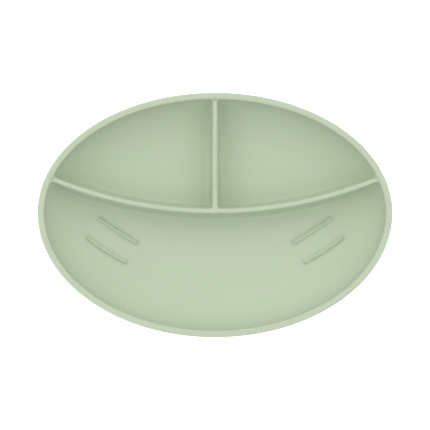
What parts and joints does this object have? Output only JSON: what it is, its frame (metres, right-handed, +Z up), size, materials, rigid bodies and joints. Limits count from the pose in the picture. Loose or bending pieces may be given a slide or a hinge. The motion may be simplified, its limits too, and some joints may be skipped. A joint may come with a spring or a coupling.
{
  "type": "suction bowl",
  "caption": "Oval silicone toddler bowl divided by a curved and a straight wall, raised whisker ribs on the floor, plug-in suction cups with release tabs below.",
  "frame": {"origin": "under the middle of the bowl, on the surface that it stands on", "axes": "+X along the long side, to the right for the person eating; +Y away from that person, towards the two small compartments; +Z up"},
  "size_m": [0.245, 0.169, 0.04],
  "materials": {
    "bowl_silicone": "matte",
    "cup_silicone": "satin"
  },
  "bodies": {
    "bowl": {"bowl": "bowl_silicone"},
    "suction_cup_front_left": {"suction_cup_front_left": "cup_silicone"},
    "release_tab_front_left": {"release_tab_front_left": "cup_silicone"},
    "suction_cup_front_right": {"suction_cup_front_right": "cup_silicone"},
    "release_tab_front_right": {"release_tab_front_right": "cup_silicone"},
    "suction_cup_back_left": {"suction_cup_back_left": "cup_silicone"},
    "release_tab_back_left": {"release_tab_back_left": "cup_silicone"},
    "suction_cup_back_right": {"suction_cup_back_right": "cup_silicone"},
    "release_tab_back_right": {"release_tab_back_right": "cup_silicone"}
  },
  "joints": [
    {"name": "press_front_left", "type": "slide", "parent": "bowl", "child": "suction_cup_front_left", "axis": [0, 0, 1], "range_m": [0, 0.0015], "stiffness_N_per_m": 2500, "springref_m": -0.0004},
    {"name": "peel_front_left", "type": "hinge", "parent": "suction_cup_front_left", "child": "release_tab_front_left", "pos_m": [-0.048, -0.0465, 0.0012], "axis": [-1, 0, 0], "range_deg": [0, 45], "stiffness_Nm_per_rad": 0.002, "springref_deg": -1.15},
    {"name": "press_front_right", "type": "slide", "parent": "bowl", "child": "suction_cup_front_right", "axis": [0, 0, 1], "range_m": [0, 0.0015], "stiffness_N_per_m": 2500, "springref_m": -0.0004},
    {"name": "peel_front_right", "type": "hinge", "parent": "suction_cup_front_right", "child": "release_tab_front_right", "pos_m": [0.048, -0.0465, 0.0012], "axis": [-1, 0, 0], "range_deg": [0, 45], "stiffness_Nm_per_rad": 0.002, "springref_deg": -1.15},
    {"name": "press_back_left", "type": "slide", "parent": "bowl", "child": "suction_cup_back_left", "axis": [0, 0, 1], "range_m": [0, 0.0015], "stiffness_N_per_m": 2500, "springref_m": -0.0004},
    {"name": "peel_back_left", "type": "hinge", "parent": "suction_cup_back_left", "child": "release_tab_back_left", "pos_m": [-0.048, 0.0465, 0.0012], "axis": [1, 0, 0], "range_deg": [0, 45], "stiffness_Nm_per_rad": 0.002, "springref_deg": -1.15},
    {"name": "press_back_right", "type": "slide", "parent": "bowl", "child": "suction_cup_back_right", "axis": [0, 0, 1], "range_m": [0, 0.0015], "stiffness_N_per_m": 2500, "springref_m": -0.0004},
    {"name": "peel_back_right", "type": "hinge", "parent": "suction_cup_back_right", "child": "release_tab_back_right", "pos_m": [0.048, 0.0465, 0.0012], "axis": [1, 0, 0], "range_deg": [0, 45], "stiffness_Nm_per_rad": 0.002, "springref_deg": -1.15}
  ]
}
